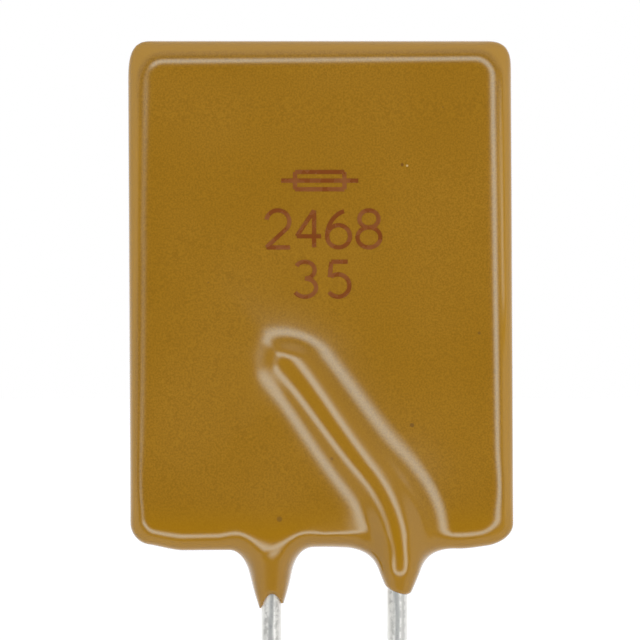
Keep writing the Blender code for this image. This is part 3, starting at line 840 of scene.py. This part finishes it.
def wire_tree():
    """A round wire along straight, bend and slant, uneven under its tin and turned about the Z axis."""
    names = (
        "Radius", "Middle X", "Middle Y", "Foot", "Bend height", "Bend radius", "Slant", "Slant length",
        "Unevenness", "Turn",
    )
    tree, given = geometry_tree("tinned_wire", names)
    base = Shade(tree)
    line = base.make("GeometryNodeCurvePrimitiveLine", {"End": (0, 0, 1)})
    line = base.make("GeometryNodeResampleCurve", {"Curve": line, "Count": LEAD_STEPS})
    bend_end = given["Bend height"] + given["Bend radius"] * given["Slant"]
    share = base.make("GeometryNodeSplineParameter", output="Factor")
    along = given["Foot"] + share * (bend_end + given["Slant length"] - given["Foot"])
    turn = ((along - given["Bend height"]) / given["Bend radius"]).maths("MAXIMUM", 0.0)
    turn = turn.maths("MINIMUM", given["Slant"])
    below, above = along - given["Bend height"], along - bend_end
    straight = below.maths("MINIMUM", 0.0) + above.maths("MAXIMUM", 0.0)
    cosine, sine = turn.maths("COSINE"), turn.maths("SINE")
    x = given["Middle X"] - given["Bend radius"] * (1.0 - cosine) - straight * sine
    z = given["Bend height"] + given["Bend radius"] * sine + straight * cosine
    point = base.make("ShaderNodeCombineXYZ", {"X": x, "Y": given["Middle Y"], "Z": z})
    line = base.make("GeometryNodeSetPosition", {"Geometry": line, "Position": point})
    chamfer = (along - given["Foot"]).between(0.0, LEAD_CHAMFER, LEAD_CUT, 1.0)
    line = base.make("GeometryNodeSetCurveRadius", {"Curve": line, "Radius": chamfer})
    sizes = {"Resolution": LEAD_SIDES, "Radius": given["Radius"]}
    circle = base.make("GeometryNodeCurvePrimitiveCircle", sizes)
    tube = base.make("GeometryNodeCurveToMesh", {"Curve": line, "Profile Curve": circle, "Fill Caps": True})
    lump = base.make("GeometryNodeInputPosition").noise(TIN_LUMPS, 2.0).between(0.25, 0.75, -1.0, 0.0)
    outwards = base.make("GeometryNodeInputNormal")
    ways = {0: outwards, "Scale": lump * given["Unevenness"]}
    push = base.make("ShaderNodeVectorMath", ways, operation="SCALE")
    tube = base.make("GeometryNodeSetPosition", {"Geometry": tube, "Offset": push})
    tube = base.make("GeometryNodeSetShadeSmooth", {"Geometry": tube, "Shade Smooth": True})
    spin = base.make("ShaderNodeCombineXYZ", {"Z": given["Turn"]})
    finish_tree(base.make("GeometryNodeTransform", {"Geometry": tube, "Rotation": spin}), given)
    return tree


def make_leads():
    """Both leads, the rear one turned half round, in place of the solid ones."""
    tree = wire_tree()
    values = {
        "Radius": WIRE_RADIUS,
        "Middle X": WIRE_X,
        "Middle Y": -WIRE_OFFSET,
        "Foot": WIRE_FOOT,
        "Bend height": WIRE_BEND_HEIGHT,
        "Bend radius": WIRE_BEND_RADIUS,
        "Slant": WIRE_SLANT,
        "Slant length": WIRE_SLANT_LENGTH,
        "Unevenness": TIN_UNEVENNESS,
        "Material": tin_material(),
    }
    for name, turn in (("front_lead", 0.0), ("rear_lead", math.pi)):
        start = bpy.data.meshes.new("start")
        mesh = from_nodes("tinned_" + name, tree, start, {**values, "Turn": turn})
        for polygon in mesh.polygons:
            polygon.use_smooth = len(polygon.vertices) == 4
        dress(add_object("tinned_" + name, mesh), "tinned_wire", name)


def print_tree():
    """Thin flat strokes along the edges of a mesh in the XY plane."""
    tree, given = geometry_tree("printed_strokes", ("Stroke width", "Ink height"))
    base = Shade(tree)
    curve = base.make("GeometryNodeMeshToCurve", {"Mesh": given["Geometry"]})
    curve = base.make("GeometryNodeSetCurveNormal", {"Curve": curve}, mode="Z_UP")
    sizes = {"Width": given["Stroke width"], "Height": given["Ink height"]}
    profile = base.make("GeometryNodeCurvePrimitiveQuadrilateral", sizes)
    parts = {"Curve": curve, "Profile Curve": profile, "Fill Caps": True}
    strokes = base.make("GeometryNodeCurveToMesh", parts)
    finish_tree(strokes, given)
    return tree


def stroke_points(stroke):
    """A stroke's points: as given, or along an arc and on to further points."""
    if len(stroke) != 5:
        return np.linspace(*np.array(stroke), ARC_STEPS)
    centre, radii, start, end, further = stroke
    angles = np.radians(np.linspace(start, end, ARC_STEPS * 2))
    arc = np.array(centre) + np.array(radii) * np.stack([np.cos(angles), np.sin(angles)], axis=-1)
    return np.concatenate([arc, np.linspace(arc[-1], further[0], ARC_STEPS)[1:]]) if further else arc


def make_print():
    """A fuse's symbol and plain digits in ink that lies on the coat's front."""
    points, edges, strokes = [], [], 0
    for glyphs, left, foot, tall, step in PRINT_ROWS:
        for place, glyph in enumerate(glyphs):
            for stroke in GLYPHS[glyph]:
                line = (stroke_points(stroke) + (place * step, 0)) * tall + (left, foot)
                first = len(points)
                strokes += 1
                points += [(x * MM, z * MM, strokes * STROKE_LIFT) for x, z in line]
                edges += [(first + n, first + n + 1) for n in range(len(line) - 1)]
    start = bpy.data.meshes.new("start")
    start.from_pydata(points, edges, [])
    values = {"Stroke width": STROKE_WIDTH, "Ink height": INK_HEIGHT, "Material": ink_material()}
    mesh = from_nodes("printed_mark", print_tree(), start, values)
    flat = np.empty(len(mesh.vertices) * 3)
    mesh.vertices.foreach_get("co", flat)
    x, z, lift = flat.reshape(-1, 3).T
    y = -front_reach(x, z) - INK_SINK - lift
    mesh.vertices.foreach_set("co", np.stack([x, y, z], axis=-1).ravel())
    mesh.shade_flat()
    mesh.update()
    mark = add_object("printed_mark", mesh)
    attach(mark, "root")


def dress_inside():
    """Gives the pieces in the coat their finishes."""
    for name, (dark, light, scale, roughness, metallic, *nodes) in INSIDE.items():
        finish = inside_material(name, dark, light, scale, roughness, metallic)
        for node in nodes:
            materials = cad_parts[node].data.materials
            materials.clear()
            materials.append(finish)


def make_world():
    """A pale tent with a wide ring lamp about the camera, and dark between the lamp and the lens."""
    world = bpy.data.worlds.new("studio")
    bpy.context.scene.world = world
    world.use_nodes = True
    base = Shade(world.node_tree)
    direction = base.make("ShaderNodeTexCoord", output="Generated")
    east, north, up = (direction.axis(name) for name in "XYZ")
    degrees = (-1.0 * north).maths("ARCCOSINE") * DEGREES
    ring = degrees.between(*RING_INNER_EDGE) - degrees.between(*RING_OUTER_EDGE)
    towards_dim = up * math.sin(DIM_SIDE) + east * math.cos(DIM_SIDE)
    dim = (towards_dim / (1.0 - north * north).maths("SQRT")).between(*DIM_EDGE) * DIM_SHARE
    near, wide, behind = (degrees.between(start, end) * share for start, end, share in TENT_STEPS)
    light = ring * (1.0 - dim) * RING_LIGHT + (near + wide + behind) * TENT_LIGHT
    seen = base.make("ShaderNodeLightPath", output="Is Camera Ray")
    strength = seen + (1.0 - seen) * light
    background = world.node_tree.nodes["Background"]
    background.inputs["Color"].default_value = rgba(1, 1, 1)
    world.node_tree.links.new(strength.socket, background.inputs["Strength"])


def make_floor():
    """A round floor at the leads' ends that the part neither mirrors nor gets light from."""
    mesh = bpy.data.meshes.new("floor")
    edit = bmesh.new()
    bmesh.ops.create_circle(edit, cap_ends=True, segments=FLOOR_SIDES, radius=FLOOR_RADIUS)
    bmesh.ops.translate(edit, verts=edit.verts, vec=(0, 0, WIRE_FOOT))
    edit.to_mesh(mesh)
    edit.free()
    floor = add_object("floor", mesh)
    made, shader, _ = new_material("pale_floor")
    finish_with(
        shader,
        Base_Color=rgba(*FLOOR_TONE),
        Roughness=1.0,
        Specular_IOR_Level=0.0,
        Emission_Color=rgba(1, 1, 1),
        Emission_Strength=FLOOR_GLOW,
    )
    mesh.materials.append(made)
    floor.visible_glossy = floor.visible_diffuse = False
    floor.visible_transmission = floor.visible_shadow = False


def make_camera():
    """A far camera with a long lens, level and straight before the part."""
    camera = bpy.data.cameras.new("camera")
    camera.sensor_width = SENSOR_MM
    camera.lens = SENSOR_MM * VIEW_DISTANCE / VIEW_WIDTH
    camera.clip_start, camera.clip_end = VIEW_CLIP
    made = add_object("camera", camera)
    made.location = (VIEW_MIDDLE[0], VIEW_MIDDLE[1] - VIEW_DISTANCE, VIEW_MIDDLE[2])
    made.rotation_euler = (math.pi / 2, 0, 0)
    bpy.context.scene.camera = made


make_camera()
make_coat()
make_leads()
make_print()
dress_inside()
make_world()
make_floor()
bpy.context.scene.view_settings.view_transform = "Standard"
